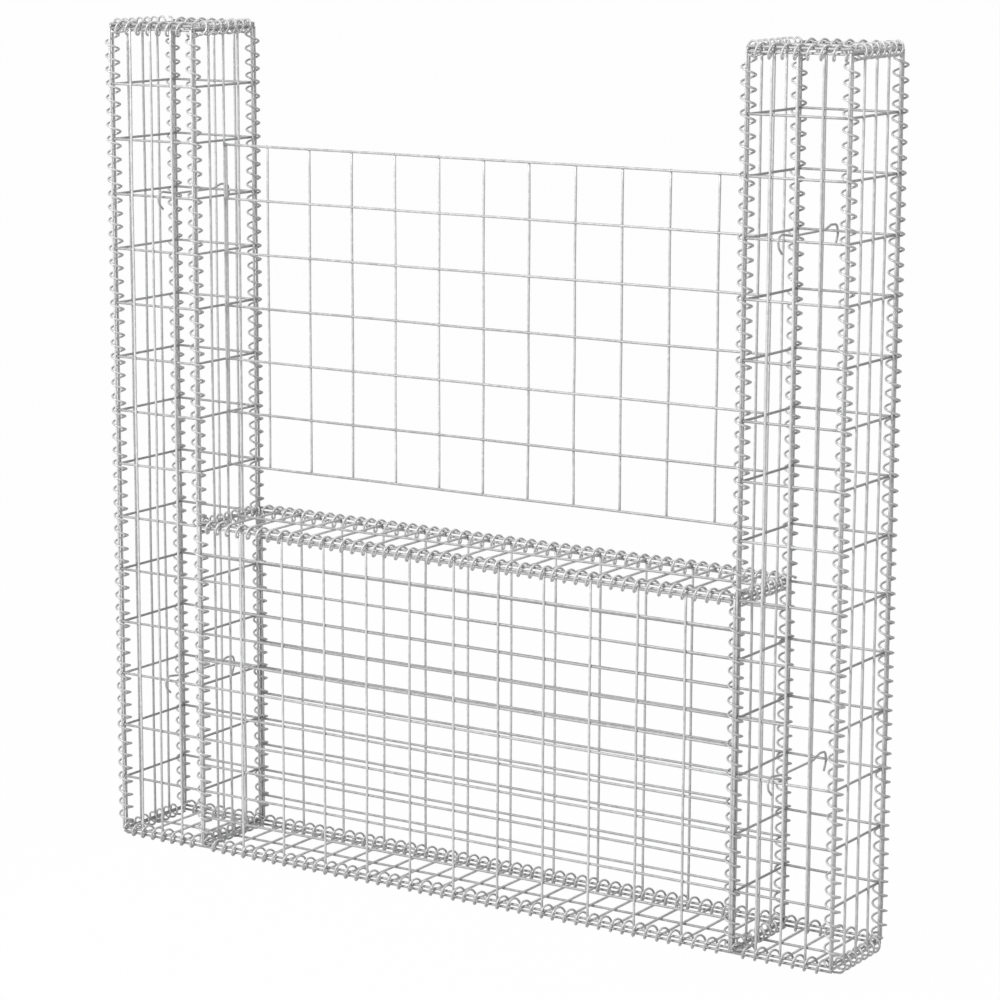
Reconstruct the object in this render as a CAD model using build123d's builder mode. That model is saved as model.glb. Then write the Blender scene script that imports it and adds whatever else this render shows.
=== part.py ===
from build123d import *
import os
from functools import cache
from math import cos, hypot, radians, sin

# An empty gabion wall of welded wire mesh: two slim towers, a low basket between them,
# and an open mesh screen above the basket. Lengths are in millimetres and angles in degrees.
# X runs along the wall, -Y is the front, and Z is up from the ground at 0.

# Mesh cells: their size along, across and up the wall, and how many of them each basket has
CELL_ALONG = 93.0
CELL_ACROSS = 86.0
CELL_UP = 100.0
BASE_CELLS_ALONG = 12
TOWER_CELLS_ALONG = 2
CELLS_ACROSS = 2
TOWER_CELLS_UP = 15
BASE_CELLS_UP = 6
SCREEN_CELLS_UP = 6
FINE_WIRES_PER_CELL = 2

# Mesh wire, and the gap at which two separate pieces lie against each other
MESH_WIRE = 4.0
SEAT_GAP = 0.3

# Lacing coils: thin left-handed spirals that bind the panels along their shared edges
COIL_WIRE = 3.6
COIL_SLACK = 2.1
COIL_WIRE_SIDES = 3
COIL_SIDES = 6
COIL_TURNS_PER_CELL = 4
PARTITION_TURNS_PER_CELL = 2
PARTITION_COIL_START = -24.0

# Screen: the height of its cells, and of its lowest wire over the top row of the base
SCREEN_CELL_UP = 98.0
SCREEN_RISE = 105.0

# Tie rods: hooked over the front and back rows of each tower
TIE_WIRE = 4.0
TIE_WIRE_SIDES = 6
TIE_BEND = 8.0
TIE_DROP = 20.0
TIE_INSET = 70.0
TIE_HEIGHT_SHARES = (0.2, 0.8)

# Places of the edge wires, counted from the middle of the wall
WIRE_STEP = MESH_WIRE + SEAT_GAP
BASE_END = BASE_CELLS_ALONG * CELL_ALONG / 2
TOWER_INNER = BASE_END + WIRE_STEP
TOWER_OUTER = TOWER_INNER + TOWER_CELLS_ALONG * CELL_ALONG
SIDE_EDGE = CELLS_ACROSS * CELL_ACROSS / 2
LONG_EDGE = SIDE_EDGE + WIRE_STEP
FACE_WELD = LONG_EDGE + MESH_WIRE / 2
LID_WELD = WIRE_STEP + MESH_WIRE / 2
BASE_HEIGHT = BASE_CELLS_UP * CELL_UP
TOWER_HEIGHT = TOWER_CELLS_UP * CELL_UP

# A bundle is the group of edge wires inside a coil: one, two or three wires across
SINGLE_HALF = MESH_WIRE / 2
DOUBLE_HALF = MESH_WIRE
SPACED_HALF = MESH_WIRE + SEAT_GAP / 2
TRIPLE_HALF = SPACED_HALF + MESH_WIRE / 2

# The coil's bore is loose round the largest bundle, and its corners lie outside the bore
COIL_BORE = hypot(SPACED_HALF, TRIPLE_HALF) + COIL_SLACK
COIL_RADIUS = (COIL_BORE + COIL_WIRE / 2) / cos(radians(180 / COIL_SIDES))

# Signs of the two ends and the two long faces of the wall
ENDS = {"left": -1, "right": 1}
FACES = {"front": -1, "back": 1}


def places(start, cells, cell, per_cell=1):
    """Even places of wires from a start, over whole cells."""
    return [start + cell * i / per_cell for i in range(cells * per_cell + 1)]


def save(piece, label):
    """Name a finished piece and write it."""
    piece.part.label = label
    export_step(piece.part, f"parts/{label}.step", write_pcurves=False)


def welded_panel(label, plane, uprights, rows, upright_side):
    """Two layers of square wires that meet on a plane and are welded where they cross."""
    width = uprights[-1] - uprights[0] + MESH_WIRE
    height = rows[-1] - rows[0] + MESH_WIRE
    centre = Vector((uprights[0] + uprights[-1]) / 2, (rows[0] + rows[-1]) / 2)
    layer = upright_side * MESH_WIRE / 2
    with BuildPart(plane) as panel:
        with Locations(*[(x, centre.Y, layer) for x in uprights]):
            Box(MESH_WIRE, height, MESH_WIRE)
        with Locations(*[(centre.X, y, -layer) for y in rows]):
            Box(width, MESH_WIRE, MESH_WIRE)
    save(panel, label)


@cache
def straight_coil(turns, pitch):
    """A left-handed coil up the Z axis, with few-sided turns, that starts on the X axis."""
    steps = [radians(360 / COIL_SIDES) * i for i in range(turns * COIL_SIDES + 1)]
    rise = pitch / radians(360)
    with BuildPart() as coil:
        with BuildLine() as route:
            Polyline(*[(COIL_RADIUS * cos(a), -COIL_RADIUS * sin(a), rise * a) for a in steps])
        with BuildSketch(Plane(origin=route.line @ 0, z_dir=route.line % 0)):
            RegularPolygon(COIL_WIRE / 2, COIL_WIRE_SIDES)
        sweep(transition=Transition.RIGHT)
    return coil.part


def laced_edge(corner, axis, cells, cell, opening, bearing, turns_per_cell=COIL_TURNS_PER_CELL):
    """A coil along an edge, and its place.

    The coil runs from half a turn past the corner of a bundle's centre line to half a turn short of
    its far end. It starts towards the opening, the side where the bundle's cross wires leave, so its
    strands pass midway between them. It is slid until a flat of its bore lies against the bearing,
    a corner of the bundle."""
    pitch = cell / turns_per_cell
    turns = cells * turns_per_cell - 1
    frame = Plane(origin=(0, 0, 0), x_dir=opening, z_dir=axis)
    local = frame.to_local_coords(Vector(*bearing))
    flats = [Vector(1, 0).rotate(Axis.Z, 180 / COIL_SIDES * (2 * k + 1)) for k in range(COIL_SIDES)]
    flat = max(flats, key=local.dot)
    slide = flat * (local.dot(flat) + SEAT_GAP - COIL_BORE)
    shift = frame.from_local_coords(slide + Vector(0, 0, pitch / 2))
    place = Plane(origin=Vector(*corner) + shift, x_dir=opening, z_dir=axis)
    return straight_coil(turns, pitch), place


def coils(label, edges):
    """One or more coils that share a name, each on its own edge."""
    with BuildPart() as piece:
        for coil, place in edges:
            with Locations(place):
                add(coil, clean=False)
    save(piece, label)


def upright_edge(x, face, start, cells, opening, bearing_x):
    """A coil on an upright edge of a long face."""
    corner = (x, face * (LONG_EDGE - SEAT_GAP / 2), start)
    return laced_edge(corner, (0, 0, 1), cells, CELL_UP, opening, (bearing_x, face * TRIPLE_HALF, 0))


def long_edge(start, cells, face, row, up):
    """A coil along the front or back of a lid, or of a floor where up is -1."""
    corner = (start, face * LONG_EDGE, row + up * SPACED_HALF)
    bearing = (0, face * SINGLE_HALF, up * TRIPLE_HALF)
    return laced_edge(corner, (1, 0, 0), cells, CELL_ALONG, (0, -face, -up), bearing)


def short_edge(x, row, up, opening, bearing, turns_per_cell=COIL_TURNS_PER_CELL):
    """A coil from front to back, at a lid's end, or a floor's where up is -1."""
    corner = (x, -SIDE_EDGE, row + up * WIRE_STEP / 2)
    return laced_edge(corner, (0, 1, 0), CELLS_ACROSS, CELL_ACROSS, opening, bearing, turns_per_cell)


def facing_front(y):
    """An upright plane along the wall, seen from the front."""
    return Plane(origin=(0, y, 0), x_dir=(1, 0, 0), z_dir=(0, -1, 0))


def facing_right(x):
    """An upright plane across the wall, seen from the right."""
    return Plane(origin=(x, 0, 0), x_dir=(0, 1, 0), z_dir=(1, 0, 0))


os.makedirs("parts", exist_ok=True)

# The floor coils reach lowest, so the bottom row stands over the ground by as much as they reach down
with BuildPart() as lowest_coil:
    coil, place = long_edge(-BASE_END, BASE_CELLS_ALONG, FACES["front"], 0, -1)
    with Locations(place):
        add(coil, clean=False)
BOTTOM_ROW = -lowest_coil.part.bounding_box().min.Z
BASE_TOP_ROW = BOTTOM_ROW + BASE_HEIGHT
TOWER_TOP_ROW = BOTTOM_ROW + TOWER_HEIGHT

# Places of the wires in each group of panels
tower_rows = places(BOTTOM_ROW, TOWER_CELLS_UP, CELL_UP)
base_rows = places(BOTTOM_ROW, BASE_CELLS_UP, CELL_UP, FINE_WIRES_PER_CELL)
screen_rows = places(BASE_TOP_ROW + SCREEN_RISE, SCREEN_CELLS_UP, SCREEN_CELL_UP)
base_uprights = places(-BASE_END, BASE_CELLS_ALONG, CELL_ALONG)
base_cross_wires = places(-BASE_END, BASE_CELLS_ALONG, CELL_ALONG, FINE_WIRES_PER_CELL)
side_uprights = places(-SIDE_EDGE, CELLS_ACROSS, CELL_ACROSS, FINE_WIRES_PER_CELL)
long_wires = (-LONG_EDGE, 0, LONG_EDGE)

# Base basket and the screen over it
welded_panel("base_front_panel", facing_front(-FACE_WELD), base_uprights, base_rows, 1)
welded_panel("base_back_panel", facing_front(FACE_WELD), base_uprights, base_rows, -1)
welded_panel("base_lid", Plane.XY.offset(BASE_TOP_ROW + LID_WELD), base_cross_wires, long_wires, -1)
welded_panel("base_floor", Plane.XY.offset(BOTTOM_ROW - LID_WELD), base_cross_wires, long_wires, 1)
welded_panel("screen_panel", facing_front(-MESH_WIRE / 2), base_uprights, screen_rows, -1)

# Towers: four sides, lid and floor
for end_name, end in ENDS.items():
    tower_start = min(end * TOWER_INNER, end * TOWER_OUTER)
    tower_uprights = places(tower_start, TOWER_CELLS_ALONG, CELL_ALONG, FINE_WIRES_PER_CELL)
    tower = f"{end_name}_tower"
    for face_name, face in FACES.items():
        plane = facing_front(face * FACE_WELD)
        welded_panel(f"{tower}_{face_name}_panel", plane, tower_uprights, tower_rows, -face)
    outer_plane = facing_right(end * (TOWER_OUTER - MESH_WIRE / 2))
    inner_plane = facing_right(end * (TOWER_INNER + MESH_WIRE / 2))
    welded_panel(f"{tower}_outer_panel", outer_plane, side_uprights, tower_rows, end)
    welded_panel(f"{tower}_inner_panel", inner_plane, side_uprights, tower_rows, -end)
    lid_plane = Plane.XY.offset(TOWER_TOP_ROW + LID_WELD)
    floor_plane = Plane.XY.offset(BOTTOM_ROW - LID_WELD)
    welded_panel(f"{tower}_lid", lid_plane, tower_uprights, long_wires, -1)
    welded_panel(f"{tower}_floor", floor_plane, tower_uprights, long_wires, 1)

# Coils on the towers' upright edges: the inner ones also bind the base, up to its lid
for end_name, end in ENDS.items():
    for face_name, face in FACES.items():
        outer = upright_edge(
            end * TOWER_OUTER, face, BOTTOM_ROW, TOWER_CELLS_UP, (-end, -face, 0), end * SINGLE_HALF
        )
        inner_lower = upright_edge(
            end * (BASE_END + WIRE_STEP / 2),
            face,
            BOTTOM_ROW,
            BASE_CELLS_UP,
            (0, -face, 0),
            end * SPACED_HALF,
        )
        inner_upper = upright_edge(
            end * TOWER_INNER,
            face,
            BASE_TOP_ROW,
            TOWER_CELLS_UP - BASE_CELLS_UP,
            (end, -face, 0),
            -end * SINGLE_HALF,
        )
        coils(f"{end_name}_outer_{face_name}_coil", [outer])
        coils(f"{end_name}_inner_{face_name}_coil", [inner_lower, inner_upper])

# Coils round the towers' lids and floors
for end_name, end in ENDS.items():
    tower_start = min(end * TOWER_INNER, end * TOWER_OUTER)
    outer_x = end * (TOWER_OUTER - MESH_WIRE / 2)
    inner_x = end * (TOWER_INNER + MESH_WIRE / 2)
    outwards = (end, 0, 0)
    inwards = (-end, 0, 0)
    lid_edges = []
    floor_edges = []
    for face in FACES.values():
        lid_edges.append(long_edge(tower_start, TOWER_CELLS_ALONG, face, TOWER_TOP_ROW, 1))
        floor_edges.append(long_edge(tower_start, TOWER_CELLS_ALONG, face, BOTTOM_ROW, -1))
    lid_edges.append(short_edge(outer_x, TOWER_TOP_ROW, 1, inwards, (-end * DOUBLE_HALF, 0, -SPACED_HALF)))
    lid_edges.append(short_edge(inner_x, TOWER_TOP_ROW, 1, outwards, (end * DOUBLE_HALF, 0, -SPACED_HALF)))
    floor_edges.append(short_edge(outer_x, BOTTOM_ROW, -1, inwards, (-end * DOUBLE_HALF, 0, SPACED_HALF)))
    coils(f"{end_name}_tower_lid_coils", lid_edges)
    coils(f"{end_name}_tower_floor_coils", floor_edges)

# Coils round the base's lid and floor
for face_name, face in FACES.items():
    coils(f"base_lid_{face_name}_coil", [long_edge(-BASE_END, BASE_CELLS_ALONG, face, BASE_TOP_ROW, 1)])
    coils(f"base_floor_{face_name}_coil", [long_edge(-BASE_END, BASE_CELLS_ALONG, face, BOTTOM_ROW, -1)])

# Coils where the base's lid and floor meet the towers' inner panels. Those at the floor are wound wider,
# because wires leave their bundle on three sides.
base_lid_ends = []
partition_bottoms = []
for end in ENDS.values():
    middle_x = end * (TOWER_INNER - SEAT_GAP / 2)
    lid_bearing = (end * TRIPLE_HALF, 0, SPACED_HALF)
    base_lid_ends.append(short_edge(middle_x, BASE_TOP_ROW, 1, (-end, 0, 0), lid_bearing))
    tilt = radians(PARTITION_COIL_START)
    start = (-end * cos(tilt), 0, sin(tilt))
    floor_bearing = (-end * TRIPLE_HALF, 0, -SPACED_HALF)
    bottom = short_edge(middle_x, BOTTOM_ROW, -1, start, floor_bearing, PARTITION_TURNS_PER_CELL)
    partition_bottoms.append(bottom)
coils("base_lid_end_coils", base_lid_ends)
coils("partition_floor_coils", partition_bottoms)

# Tie rods: each lies on a front and a back row, with its ends bent down outside them
TIE_LEG = FACE_WELD + TIE_BEND
TIE_LIFT = (MESH_WIRE + TIE_WIRE) / 2 + SEAT_GAP
for end_name, end in ENDS.items():
    tie_plane = facing_right(end * (TOWER_INNER + TIE_INSET))
    with BuildPart() as ties:
        for share in TIE_HEIGHT_SHARES:
            row = tower_rows[round(share * TOWER_CELLS_UP)]
            top = row + TIE_LIFT
            with BuildLine(tie_plane) as route:
                FilletPolyline(
                    (-TIE_LEG, row - TIE_DROP),
                    (-TIE_LEG, top),
                    (TIE_LEG, top),
                    (TIE_LEG, row - TIE_DROP),
                    radius=TIE_BEND,
                )
            with BuildSketch(Plane(origin=route.line @ 0, z_dir=route.line % 0)):
                RegularPolygon(TIE_WIRE / 2, TIE_WIRE_SIDES)
            sweep(path=route.line)
    save(ties, f"{end_name}_tower_ties")
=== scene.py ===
from math import cos, hypot, pi, radians, sin

import bpy
import numpy as np
from mathutils import Matrix, Vector


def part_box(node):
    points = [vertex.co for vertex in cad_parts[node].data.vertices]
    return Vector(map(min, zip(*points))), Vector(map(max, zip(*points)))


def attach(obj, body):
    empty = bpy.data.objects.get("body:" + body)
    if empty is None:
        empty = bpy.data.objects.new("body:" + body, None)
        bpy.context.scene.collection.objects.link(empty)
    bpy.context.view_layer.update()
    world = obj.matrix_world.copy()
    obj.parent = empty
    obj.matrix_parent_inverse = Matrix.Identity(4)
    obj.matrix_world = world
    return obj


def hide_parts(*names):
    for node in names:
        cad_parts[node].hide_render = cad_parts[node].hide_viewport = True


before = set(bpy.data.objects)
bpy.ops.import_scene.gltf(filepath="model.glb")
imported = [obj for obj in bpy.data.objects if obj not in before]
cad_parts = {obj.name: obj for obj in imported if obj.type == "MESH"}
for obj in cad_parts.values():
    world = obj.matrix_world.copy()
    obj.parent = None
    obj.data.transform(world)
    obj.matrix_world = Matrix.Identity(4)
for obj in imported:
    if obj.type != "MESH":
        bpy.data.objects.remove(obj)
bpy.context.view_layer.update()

# The object is worked out in millimetres and stored in metres
MM = 0.001
X, Y, Z = 0, 1, 2
ENDS = (("left", -1), ("right", 1))
FACES = (("front", -1), ("back", 1))
rng = np.random.RandomState(11)

# Wire sizes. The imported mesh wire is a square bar, and the round wire here has about the same section.
BAR_HALF = 2.0
MESH_R = 2.25
COIL_R = 2.0
TIE_R = 2.0
GAP = 0.3

# Numbers of cells, and the rows of a tower that carry a tie rod
TOWER_CELLS_ALONG = 2
BASE_CELLS_ALONG = 12
CELLS_ACROSS = 2
TOWER_CELLS_UP = 15
BASE_CELLS_UP = 6
SCREEN_CELLS_UP = 6
TIE_ROWS = (3, 12)


def box_mm(node):
    """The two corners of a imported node's box."""
    lo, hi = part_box(node)
    return np.array(lo) / MM, np.array(hi) / MM


# Places of the edge wires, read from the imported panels
base_lo, base_hi = box_mm("base_front_panel")
tower_lo, tower_hi = box_mm("right_tower_front_panel")
_, side_hi = box_mm("right_tower_outer_panel")
BASE_END = base_hi[X] - BAR_HALF
BOTTOM_ROW = base_lo[Z] + BAR_HALF
BASE_TOP_ROW = base_hi[Z] - BAR_HALF
TOWER_INNER = tower_lo[X] + BAR_HALF
TOWER_OUTER = tower_hi[X] - BAR_HALF
TOWER_TOP_ROW = tower_hi[Z] - BAR_HALF
SIDE_EDGE = side_hi[Y] - BAR_HALF
FACE_WELD = -(base_lo[Y] + base_hi[Y]) / 2
LONG_EDGE = FACE_WELD - BAR_HALF
STEP = 2 * BAR_HALF + GAP
CELL_ALONG = (TOWER_OUTER - TOWER_INNER) / TOWER_CELLS_ALONG
CELL_ACROSS = 2 * SIDE_EDGE / CELLS_ACROSS
CELL_UP = (TOWER_TOP_ROW - BOTTOM_ROW) / TOWER_CELLS_UP


# Meshes

# A wire's cut end narrows to the first share of its radius, over a length of the second
CUT_RADIUS_SHARE = 0.72
CUT_LENGTH_SHARE = 0.25
BEAD_SEGMENTS = 8
BEAD_RINGS = 4


def unit(vectors):
    """One vector, or a row of them, brought to length 1."""
    return vectors / np.linalg.norm(vectors, axis=-1, keepdims=True)


def unit_bead():
    """The points and faces of a small ball."""
    turn = [2 * pi * j / BEAD_SEGMENTS for j in range(BEAD_SEGMENTS)]
    points = [(0, 0, 1)]
    for i in range(1, BEAD_RINGS):
        t = pi * i / BEAD_RINGS
        points += [(sin(t) * cos(a), sin(t) * sin(a), cos(t)) for a in turn]
    points.append((0, 0, -1))
    pairs = [(j, (j + 1) % BEAD_SEGMENTS) for j in range(BEAD_SEGMENTS)]
    faces = [[0, 1 + j, 1 + k] for j, k in pairs]
    for i in range(BEAD_RINGS - 2):
        a, b = 1 + i * BEAD_SEGMENTS, 1 + (i + 1) * BEAD_SEGMENTS
        faces += [[a + j, b + j, b + k, a + k] for j, k in pairs]
    last = len(points) - 1
    a = last - BEAD_SEGMENTS
    faces += [[last, a + k, a + j] for j, k in pairs]
    return np.array(points, float), faces


BEAD = unit_bead()


class Wires:
    """Collects the tubes and weld beads of one piece."""

    def __init__(self):
        self.points, self.faces, self.tones, self.welds, self.count = [], [], [], [], 0

    def add(self, points, faces, tone, weld):
        self.points.append(points)
        self.faces.extend([i + self.count for i in face] for face in faces)
        self.tones.append(np.full(len(points), tone))
        self.welds.append(np.full(len(points), weld))
        self.count += len(points)

    def tube(self, path, side, radius, sides, tone):
        """A round wire along a path, with its rings started from one side vector, or from one for each point."""
        path = np.asarray(path, float)
        first = path[0] + unit(path[1] - path[0]) * CUT_LENGTH_SHARE * radius
        last = path[-1] + unit(path[-2] - path[-1]) * CUT_LENGTH_SHARE * radius
        line = np.vstack([path[:1], [first], path[1:-1], [last], path[-1:]])
        radii = np.full(len(line), radius)
        radii[[0, -1]] *= CUT_RADIUS_SHARE
        tangent = unit(np.gradient(line, axis=0))
        side = np.broadcast_to(np.asarray(side, float), path.shape)
        side = np.vstack([side[:1], side[:1], side[1:-1], side[-1:], side[-1:]])
        u = unit(side - (side * tangent).sum(1)[:, None] * tangent)
        v = np.cross(tangent, u)
        a = np.arange(sides) * 2 * pi / sides
        ring = np.cos(a)[None, :, None] * u[:, None] + np.sin(a)[None, :, None] * v[:, None]
        points = (line[:, None] + radii[:, None, None] * ring).reshape(-1, 3)
        i, j = np.meshgrid(np.arange(len(line) - 1), np.arange(sides), indexing="ij")
        k = (j + 1) % sides
        below, above = i * sides, (i + 1) * sides
        faces = np.stack([below + j, below + k, above + k, above + j], -1).reshape(-1, 4).tolist()
        faces.append(list(reversed(range(sides))))
        faces.append(list(range(len(points) - sides, len(points))))
        self.add(points, faces, tone, 0.0)

    def bead(self, centre, axes, tone):
        """A flattened weld bead where two wires cross."""
        points, faces = BEAD
        self.add(centre + points @ axes, faces, tone, 1.0)

    def piece(self, name, material, node):
        """Joins what was collected into one object that replaces a node."""
        mesh = bpy.data.meshes.new(name)
        mesh.from_pydata((np.vstack(self.points) * MM).tolist(), [], self.faces)
        for attribute, values in (("tone", self.tones), ("weld", self.welds)):
            layer = mesh.attributes.new(attribute, "FLOAT", "POINT")
            layer.data.foreach_set("value", np.concatenate(values).astype(np.float32))
        mesh.polygons.foreach_set("use_smooth", [True] * len(mesh.polygons))
        mesh.materials.append(material)
        mesh.update()
        obj = bpy.data.objects.new(name, mesh)
        bpy.context.scene.collection.objects.link(obj)
        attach(obj, "root")
        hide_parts(node)


# Materials

# A dark grey painted on the weld beads: painted shade where the crossing wires shadow each other
WELD_SHADE_GREY = 0.20
# The zinc's blue is a trace stronger than its red and green
BLUE_TRACE = 0.005
MOTTLE_SHARE = 0.6
RAMP_START, RAMP_END = 0.15, 0.85


def shader(tree, kind, values):
    """A new shader node, with values set on its sockets."""
    made = tree.nodes.new(kind)
    for socket, value in values.items():
        made.inputs[socket].default_value = value
    return made


def grey(value):
    return value, value, value + BLUE_TRACE, 1


def attribute(tree, name):
    made = tree.nodes.new("ShaderNodeAttribute")
    made.attribute_name = name
    return made.outputs["Fac"]


def zinc(name, light, dark, rough, metal, bump):
    """Galvanised wire: mottled zinc with a fine grain, with painted shade darkening the weld beads where the
    wires cross.
    """
    mat = bpy.data.materials.new(name)
    mat.use_nodes = True
    tree = mat.node_tree
    link = tree.links.new
    bsdf = tree.nodes["Principled BSDF"]
    bsdf.inputs["Metallic"].default_value = metal
    bsdf.inputs["Specular IOR Level"].default_value = 0.12
    bsdf.inputs["Specular Tint"].default_value = (0.6, 0.6, 0.6, 1)
    coords = tree.nodes.new("ShaderNodeTexCoord")
    blotch = shader(tree, "ShaderNodeTexNoise", {"Scale": 110, "Detail": 4})
    fine = shader(tree, "ShaderNodeTexNoise", {"Scale": 900, "Detail": 2})
    for texture in (blotch, fine):
        link(coords.outputs["Object"], texture.inputs["Vector"])

    # Each wire's own tone, which differs at random and which on the panel rows is set lower as painted shade,
    # with the mottling on top
    both = shader(tree, "ShaderNodeMath", {1: MOTTLE_SHARE})
    both.operation = "MULTIPLY_ADD"
    link(blotch.outputs["Fac"], both.inputs[0])
    link(attribute(tree, "tone"), both.inputs[2])
    ramp = tree.nodes.new("ShaderNodeValToRGB")
    start, end = ramp.color_ramp.elements
    start.position, start.color = RAMP_START, grey(dark)
    end.position, end.color = RAMP_END, grey(light)
    link(both.outputs[0], ramp.inputs["Fac"])
    # The weld beads take a dark grey here: painted shade of the wire crossings
    mix = tree.nodes.new("ShaderNodeMix")
    mix.data_type = "RGBA"
    mix.inputs["B"].default_value = grey(WELD_SHADE_GREY)
    link(attribute(tree, "weld"), mix.inputs["Factor"])
    link(ramp.outputs["Color"], mix.inputs["A"])
    link(mix.outputs["Result"], bsdf.inputs["Base Color"])

    ranges = {"From Min": 0.3, "From Max": 0.7, "To Min": rough[0], "To Max": rough[1]}
    rougher = shader(tree, "ShaderNodeMapRange", ranges)
    link(blotch.outputs["Fac"], rougher.inputs["Value"])
    link(rougher.outputs["Result"], bsdf.inputs["Roughness"])
    bumps = shader(tree, "ShaderNodeBump", {"Strength": bump, "Distance": 0.0003})
    link(fine.outputs["Fac"], bumps.inputs["Height"])
    link(bumps.outputs["Normal"], bsdf.inputs["Normal"])
    return mat


# The mesh's wide span from dark to light carries the painted shade of the rows as well as the random tone
MESH_ZINC = zinc("mesh_zinc", light=0.80, dark=0.36, rough=(0.32, 0.48), metal=0.20, bump=0.25)
COIL_ZINC = zinc("coil_zinc", light=0.70, dark=0.46, rough=(0.26, 0.40), metal=0.20, bump=0.2)
TIE_ZINC = zinc("tie_zinc", light=0.58, dark=0.42, rough=(0.30, 0.44), metal=0.25, bump=0.2)


# Welded panels

MESH_SIDES = 10
# How far a wire sinks into the weld plane
SINK = 0.35
# The wires' sway: the distance of its points, its wavelengths, and its most in the panel and out of it
SWAY_STEP = 30
SWAY_WAVES = (280, 520)
SWAY_SHARES = (0.4, 1)
UPRIGHT_SWAY = 0.5
ROW_SWAY = 0.3
OUT_SWAY = 0.15
# Each wire's tone differs at random; the rows' tones are kept below the uprights' as painted shade for the rows'
# darker undersides
UPRIGHT_TONES = (0.15, 0.35)
ROW_SHADE_TONES = (-0.17, 0.03)
BEAD_TONES = (0, 0.3)
BEAD_HALVES = (2.3, 2.9)
BEAD_DEPTH = 1.5


def wire_line(start, end, sway):
    """The line of a mesh wire: straight, with a slight sway along the axes given."""
    length = np.linalg.norm(end - start)
    t = np.linspace(0, 1, max(2, int(length / SWAY_STEP) + 1))[:, None]
    line = start + (end - start) * t
    for axis, most in sway.items():
        waves = length / rng.uniform(*SWAY_WAVES)
        wave = np.sin(2 * pi * (waves * t + rng.uniform()))
        line += wave * most * rng.uniform(*SWAY_SHARES) * np.eye(3)[axis]
    return line


def panel(node, normal, upright, across, n_uprights, n_rows, side):
    """A welded panel in place of its node: uprights on one side of the weld plane, rows on the other."""
    lo, hi = box_mm(node)
    weld = (lo[normal] + hi[normal]) / 2
    offset = side * (BAR_HALF - SINK)
    wires = Wires()

    def wire(height, along, beside, place, sway, tones):
        start, end = np.zeros(3), np.zeros(3)
        start[normal] = end[normal] = height
        start[beside] = end[beside] = place
        start[along], end[along] = lo[along], hi[along]
        line = wire_line(start, end, {beside: sway, normal: OUT_SWAY})
        wires.tube(line, np.eye(3)[normal], MESH_R, MESH_SIDES, rng.uniform(*tones))

    up_places = np.linspace(lo[across] + BAR_HALF, hi[across] - BAR_HALF, n_uprights)
    row_places = np.linspace(lo[upright] + BAR_HALF, hi[upright] - BAR_HALF, n_rows)
    for place in up_places:
        wire(weld + offset, upright, across, place, UPRIGHT_SWAY, UPRIGHT_TONES)
    for place in row_places:
        wire(weld - offset, across, upright, place, ROW_SWAY, ROW_SHADE_TONES)
    for a in up_places:
        for b in row_places:
            centre, axes = np.zeros(3), np.zeros((3, 3))
            centre[normal], centre[across], centre[upright] = weld, a, b
            axes[0, across] = rng.uniform(*BEAD_HALVES)
            axes[1, upright] = rng.uniform(*BEAD_HALVES)
            axes[2, normal] = BEAD_DEPTH
            wires.bead(centre, axes, rng.uniform(*BEAD_TONES))
    wires.piece(node.replace("_panel", "") + "_mesh", MESH_ZINC, node)


# Some panels have a wire at every cell, others also at every half cell
BASE_WIRES, BASE_FINE_WIRES = BASE_CELLS_ALONG + 1, 2 * BASE_CELLS_ALONG + 1
BASE_FINE_ROWS = 2 * BASE_CELLS_UP + 1
TOWER_FINE_WIRES = 2 * TOWER_CELLS_ALONG + 1
SIDE_FINE_WIRES = 2 * CELLS_ACROSS + 1
TOWER_ROWS = TOWER_CELLS_UP + 1
ACROSS_WIRES = CELLS_ACROSS + 1

panel("base_front_panel", Y, Z, X, BASE_WIRES, BASE_FINE_ROWS, -1)
panel("base_back_panel", Y, Z, X, BASE_WIRES, BASE_FINE_ROWS, 1)
panel("base_lid", Z, Y, X, BASE_FINE_WIRES, ACROSS_WIRES, -1)
panel("base_floor", Z, Y, X, BASE_FINE_WIRES, ACROSS_WIRES, 1)
panel("screen_panel", Y, Z, X, BASE_WIRES, SCREEN_CELLS_UP + 1, 1)
for name, end in ENDS:
    panel(f"{name}_tower_front_panel", Y, Z, X, TOWER_FINE_WIRES, TOWER_ROWS, -1)
    panel(f"{name}_tower_back_panel", Y, Z, X, TOWER_FINE_WIRES, TOWER_ROWS, 1)
    panel(f"{name}_tower_outer_panel", X, Z, Y, SIDE_FINE_WIRES, TOWER_ROWS, end)
    panel(f"{name}_tower_inner_panel", X, Z, Y, SIDE_FINE_WIRES, TOWER_ROWS, -end)
    panel(f"{name}_tower_lid", Z, Y, X, TOWER_FINE_WIRES, ACROSS_WIRES, -1)
    panel(f"{name}_tower_floor", Z, Y, X, TOWER_FINE_WIRES, ACROSS_WIRES, 1)


# Lacing coils

COIL_SIDES = 8
COIL_TONES = (0, 0.25)
TURNS_PER_CELL = 4
STEPS_PER_TURN = 20
# The radius of the wire's middle line
COIL_LINE = 11.95
# A coil runs on past its last turn by a tail, in turns, and the tail's tip bends inwards
TAIL = 0.3
TIP = 0.22
TIP_BEND = 1.3
# Unevenness of a coil: pairs of how much and how fast
PHASE_WAVES = ((0.03, 1.7), (0.02, 0.61))
RADIUS_WAVES = ((0.15, 0.37), (0.12, 0.11))
WAVE_START = 6
# Half the thickness of the bundles that a coil takes in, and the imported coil's bore round the largest
SINGLE, DOUBLE, SPACED = BAR_HALF, 2 * BAR_HALF, 2 * BAR_HALF + GAP / 2
TRIPLE = SPACED + BAR_HALF
COIL_SLACK = 2.1
CAD_BORE = hypot(SPACED, TRIPLE) + COIL_SLACK
# The bore of a packed coil has six flats, the first at this angle
FLATS = 6
FLAT_ANGLE = radians(30)
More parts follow.
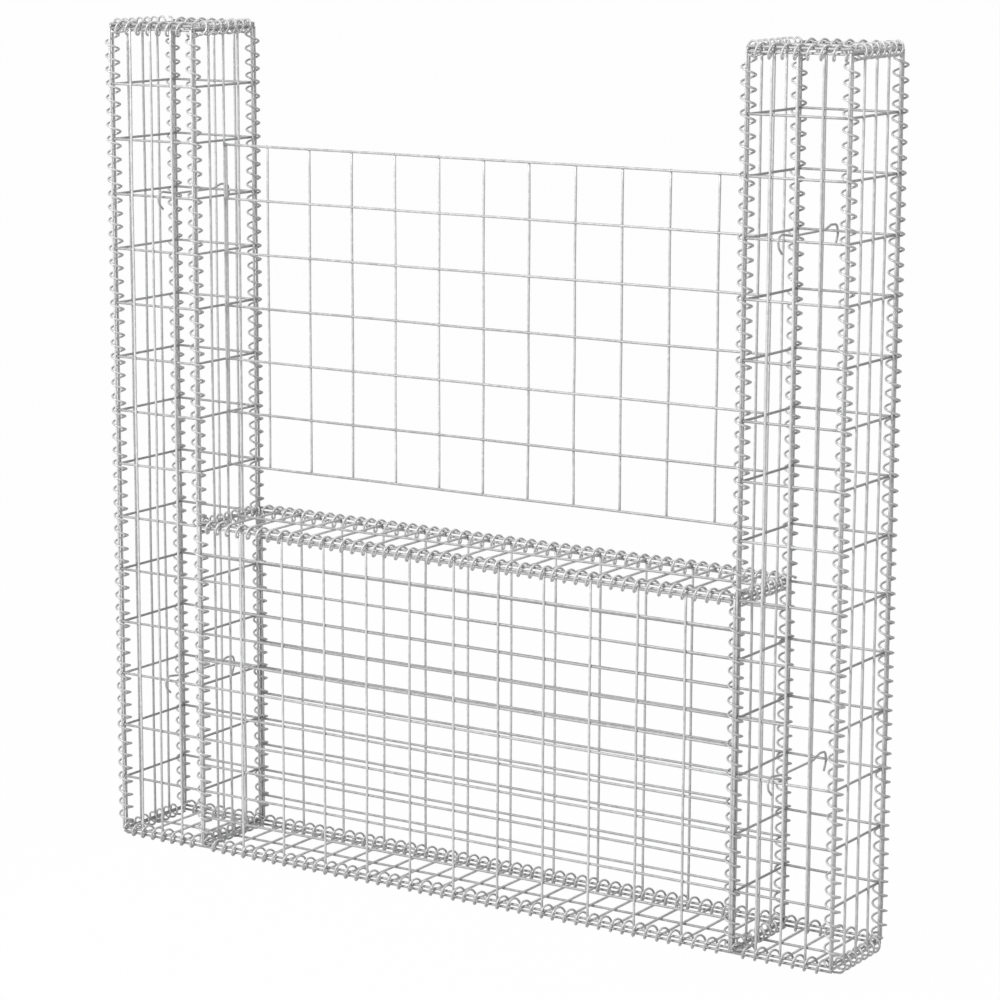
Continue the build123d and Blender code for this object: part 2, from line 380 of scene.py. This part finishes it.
# How the coils at the lower ends of the base are turned, so that they miss the wires on three sides
PARTITION_TILT = radians(-24)


def uneven(values, waves):
    """The sum of slow waves over some values, each started at random."""
    return [size * np.sin(values * speed + rng.uniform(0, WAVE_START)) for size, speed in waves]


def laced(corner, axis, cells, cell, opening, bearing):
    """The line of a left-handed coil on an edge, seated as its node is, and the way out from its axis."""
    pitch, turns = cell / TURNS_PER_CELL, cells * TURNS_PER_CELL - 1
    x = unit(np.array(opening, float))
    z = np.array(axis, float)
    y = np.cross(z, x)
    b = np.array(bearing, float)
    angles = [FLAT_ANGLE + 2 * pi * k / FLATS for k in range(FLATS)]
    flat = max((cos(angle) * x + sin(angle) * y for angle in angles), key=lambda f: f @ b)
    origin = np.array(corner, float) + flat * (flat @ b + GAP - CAD_BORE) + z * pitch / 2
    t = np.linspace(-TAIL, turns + TAIL, int((turns + 2 * TAIL) * STEPS_PER_TURN) + 1)
    a = 2 * pi * (t + sum(uneven(t, PHASE_WAVES)))
    radius = COIL_LINE + sum(uneven(a, RADIUS_WAVES))
    from_tip = np.minimum(t - t[0], t[-1] - t) / TIP
    radius = radius - TIP_BEND * np.clip(1 - from_tip, 0, 1) ** 2
    out = np.cos(a)[:, None] * x - np.sin(a)[:, None] * y
    line = origin + radius[:, None] * out + (pitch * t)[:, None] * z
    # The lowest turns rest on the floor
    line[:, Z] = np.maximum(line[:, Z], COIL_R)
    return line, out


def coils(node, edges):
    """The coils of one node."""
    wires = Wires()
    for line, out in edges:
        wires.tube(line, out, COIL_R, COIL_SIDES, rng.uniform(*COIL_TONES))
    wires.piece(node + "_wire", COIL_ZINC, node)


def upright_edge(x, face, start, cells, opening, bearing_x):
    """A coil up the edge of a front or back panel."""
    corner = (x, face * (LONG_EDGE - GAP / 2), start)
    return laced(corner, (0, 0, 1), cells, CELL_UP, opening, (bearing_x, face * TRIPLE, 0))


def long_edge(start, cells, face, row, up):
    """A coil along the front or back edge of a lid, or of a floor where up is -1."""
    corner = (start, face * LONG_EDGE, row + up * SPACED)
    bearing = (0, face * SINGLE, up * TRIPLE)
    return laced(corner, (1, 0, 0), cells, CELL_ALONG, (0, -face, -up), bearing)


def short_edge(x, row, up, opening, bearing):
    """A coil from front to back at the end of a lid, or of a floor where up is -1."""
    corner = (x, -SIDE_EDGE, row + up * STEP / 2)
    return laced(corner, (0, 1, 0), CELLS_ACROSS, CELL_ACROSS, opening, bearing)


for name, end in ENDS:
    outwards, inwards = (end, 0, 0), (-end, 0, 0)
    outer_x, inner_x = end * (TOWER_OUTER - BAR_HALF), end * (TOWER_INNER + BAR_HALF)
    middle_x = end * (BASE_END + STEP / 2)
    start = min(end * TOWER_INNER, end * TOWER_OUTER)
    upper_cells = TOWER_CELLS_UP - BASE_CELLS_UP
    for face_name, face in FACES:
        outer = upright_edge(
            end * TOWER_OUTER, face, BOTTOM_ROW, TOWER_CELLS_UP, (-end, -face, 0), end * SINGLE)
        lower = upright_edge(middle_x, face, BOTTOM_ROW, BASE_CELLS_UP, (0, -face, 0), end * SPACED)
        upper = upright_edge(
            end * TOWER_INNER, face, BASE_TOP_ROW, upper_cells, (end, -face, 0), -end * SINGLE)
        coils(f"{name}_outer_{face_name}_coil", [outer])
        coils(f"{name}_inner_{face_name}_coil", [lower, upper])
    lid = [long_edge(start, TOWER_CELLS_ALONG, face, TOWER_TOP_ROW, 1) for _, face in FACES]
    lid.append(short_edge(outer_x, TOWER_TOP_ROW, 1, inwards, (-end * DOUBLE, 0, -SPACED)))
    lid.append(short_edge(inner_x, TOWER_TOP_ROW, 1, outwards, (end * DOUBLE, 0, -SPACED)))
    coils(f"{name}_tower_lid_coils", lid)
    ground = [long_edge(start, TOWER_CELLS_ALONG, face, BOTTOM_ROW, -1) for _, face in FACES]
    ground.append(short_edge(outer_x, BOTTOM_ROW, -1, inwards, (-end * DOUBLE, 0, SPACED)))
    coils(f"{name}_tower_floor_coils", ground)
for face_name, face in FACES:
    coils(f"base_lid_{face_name}_coil", [long_edge(-BASE_END, BASE_CELLS_ALONG, face, BASE_TOP_ROW, 1)])
    coils(f"base_floor_{face_name}_coil", [long_edge(-BASE_END, BASE_CELLS_ALONG, face, BOTTOM_ROW, -1)])
lid_ends, partition_ends = [], []
for _, end in ENDS:
    middle_x = end * (TOWER_INNER - GAP / 2)
    lid_ends.append(short_edge(middle_x, BASE_TOP_ROW, 1, (-end, 0, 0), (end * TRIPLE, 0, SPACED)))
    opening = (-end * cos(PARTITION_TILT), 0, sin(PARTITION_TILT))
    partition_ends.append(short_edge(middle_x, BOTTOM_ROW, -1, opening, (-end * TRIPLE, 0, -SPACED)))
coils("base_lid_end_coils", lid_ends)
coils("partition_floor_coils", partition_ends)


# Tie rods

TIE_SIDES = 12
TIE_TONES = (0, 0.2)
TIE_BEND_R = 9
TIE_BEND_POINTS = 9
# How far the hooks reach out past the weld plane of the front or back panel
TIE_REACH = 8
# The route of a rod: places across the wall, from its hooks' reach or from the panel's edge wires, and heights
# over the row that it hooks round
TIE_REST = STEP
FRONT_HOOK = ((8, -22), (-4, -11), (-7, 3), (5, TIE_REST + 6))
FRONT_RUN = ((35, TIE_REST),)
BACK_RUN = ((-35, TIE_REST), (-12, TIE_REST + 7))
BACK_HOOK = ((-1, TIE_REST + 6), (3, -6), (-5, -24))


def rounded(points):
    """A line through points in a plane, with its corners rounded."""
    points = [np.array(p, float) for p in points]
    line = [points[0]]
    for before, corner, after in zip(points, points[1:], points[2:]):
        a, b = unit(before - corner), unit(after - corner)
        half = np.arccos(np.clip(a @ b, -1, 1)) / 2
        reach = TIE_BEND_R / np.tan(half)
        middle = corner + unit(a + b) * TIE_BEND_R / sin(half)
        first, last = corner + a * reach - middle, corner + b * reach - middle
        for s in np.linspace(0, 1, TIE_BEND_POINTS):
            line.append(middle + unit(first * (1 - s) + last * s) * TIE_BEND_R)
    line.append(points[-1])
    return np.array(line)


for name, _ in ENDS:
    lo, hi = box_mm(f"{name}_tower_ties")
    x = (lo[X] + hi[X]) / 2
    reach = FACE_WELD + TIE_REACH
    stretches = ((-reach, FRONT_HOOK), (-LONG_EDGE, FRONT_RUN), (LONG_EDGE, BACK_RUN), (reach, BACK_HOOK))
    wires = Wires()
    for cells in TIE_ROWS:
        row = BOTTOM_ROW + cells * CELL_UP
        route = [(x, place + y, row + z) for place, stretch in stretches for y, z in stretch]
        wires.tube(rounded(route), (1, 0, 0), TIE_R, TIE_SIDES, rng.uniform(*TIE_TONES))
    wires.piece(f"{name}_tower_ties_rod", TIE_ZINC, f"{name}_tower_ties")


# Stage: a pale floor, white all round, and soft studio lamps

FLOOR_HALF = 60
FLOOR_GREY = 0.7
# How much of the floor's white is its own, where it is seen
FLOOR_GLOW_SHARE = 0.985


def seen_white(tree):
    """A factor that is 1 for what the camera sees directly, in a reflection or through glass."""
    path = tree.nodes.new("ShaderNodeLightPath")
    total = path.outputs["Is Camera Ray"]
    for name in ("Is Glossy Ray", "Is Transmission Ray"):
        most = tree.nodes.new("ShaderNodeMath")
        most.operation = "MAXIMUM"
        tree.links.new(total, most.inputs[0])
        tree.links.new(path.outputs[name], most.inputs[1])
        total = most.outputs[0]
    return total


floor_mesh = bpy.data.meshes.new("floor")
floor_corners = [(x * FLOOR_HALF, y * FLOOR_HALF, 0) for x, y in ((-1, -1), (1, -1), (1, 1), (-1, 1))]
floor_mesh.from_pydata(floor_corners, [], [(0, 1, 2, 3)])
floor = bpy.data.objects.new("floor", floor_mesh)
bpy.context.scene.collection.objects.link(floor)
floor_mat = bpy.data.materials.new("pale_floor")
floor_mat.use_nodes = True
tree = floor_mat.node_tree
bsdf = tree.nodes["Principled BSDF"]
bsdf.inputs["Base Color"].default_value = (FLOOR_GREY, FLOOR_GREY, FLOOR_GREY, 1)
bsdf.inputs["Roughness"].default_value = 0.9
bsdf.inputs["Specular IOR Level"].default_value = 0.1
glow = shader(tree, "ShaderNodeEmission", {"Color": (1, 1, 1, 1)})
share = shader(tree, "ShaderNodeMath", {1: FLOOR_GLOW_SHARE})
share.operation = "MULTIPLY"
tree.links.new(seen_white(tree), share.inputs[0])
shade = tree.nodes.new("ShaderNodeMixShader")
tree.links.new(share.outputs[0], shade.inputs["Fac"])
tree.links.new(bsdf.outputs[0], shade.inputs[1])
tree.links.new(glow.outputs[0], shade.inputs[2])
tree.links.new(shade.outputs[0], tree.nodes["Material Output"].inputs["Surface"])
floor_mesh.materials.append(floor_mat)

world = bpy.data.worlds.new("studio")
world.use_nodes = True
bpy.context.scene.world = world
tree = world.node_tree
background = tree.nodes["Background"]
background.inputs["Color"].default_value = (1, 1, 1, 1)
strength = shader(tree, "ShaderNodeMapRange", {"To Min": 0.2, "To Max": 1.0})
tree.links.new(seen_white(tree), strength.inputs["Value"])
tree.links.new(strength.outputs["Result"], background.inputs["Strength"])


def lamp(name, place, target, size, power):
    """A square soft lamp that shines at a target."""
    data = bpy.data.lights.new(name, "AREA")
    data.size = size
    data.energy = power
    obj = bpy.data.objects.new(name, data)
    obj.location = place
    obj.rotation_euler = (Vector(target) - Vector(place)).to_track_quat("-Z", "Y").to_euler()
    bpy.context.scene.collection.objects.link(obj)


lamp("key", place=(-1.4, -4.4, 3.4), target=(0, 0, 0.7), size=1.8, power=268)
lamp("top", place=(0.6, 0.4, 5.2), target=(0, 0, 0.7), size=1.8, power=70)
lamp("side", place=(4.2, -1.6, 2.4), target=(0, 0, 0.8), size=2.0, power=26)

# Camera, fitted to the wire crossings in the photo
CAMERA_PLACE = (3.126, -4.803, 1.798)
YAW, PITCH, ROLL = radians(32.76), radians(-10.74), radians(0.20)
FOCAL_PX, PHOTO_PX = 3316.0, 1000
SENSOR_MM = 36.0
FAR_CLIP = 300
right = Vector((cos(YAW), sin(YAW), 0))
forward = Vector((-sin(YAW) * cos(PITCH), cos(YAW) * cos(PITCH), sin(PITCH)))
up = right.cross(forward)
rolled_right = cos(ROLL) * right + sin(ROLL) * up
rolled_up = cos(ROLL) * up - sin(ROLL) * right
lens = bpy.data.cameras.new("camera")
lens.sensor_fit = "HORIZONTAL"
lens.sensor_width = SENSOR_MM
lens.lens = FOCAL_PX * SENSOR_MM / PHOTO_PX
lens.clip_end = FAR_CLIP
camera = bpy.data.objects.new("camera", lens)
turned = Matrix((rolled_right, rolled_up, -forward)).transposed().to_4x4()
camera.matrix_world = Matrix.Translation(CAMERA_PLACE) @ turned
bpy.context.scene.collection.objects.link(camera)
bpy.context.scene.camera = camera
bpy.context.scene.view_settings.view_transform = "Standard"
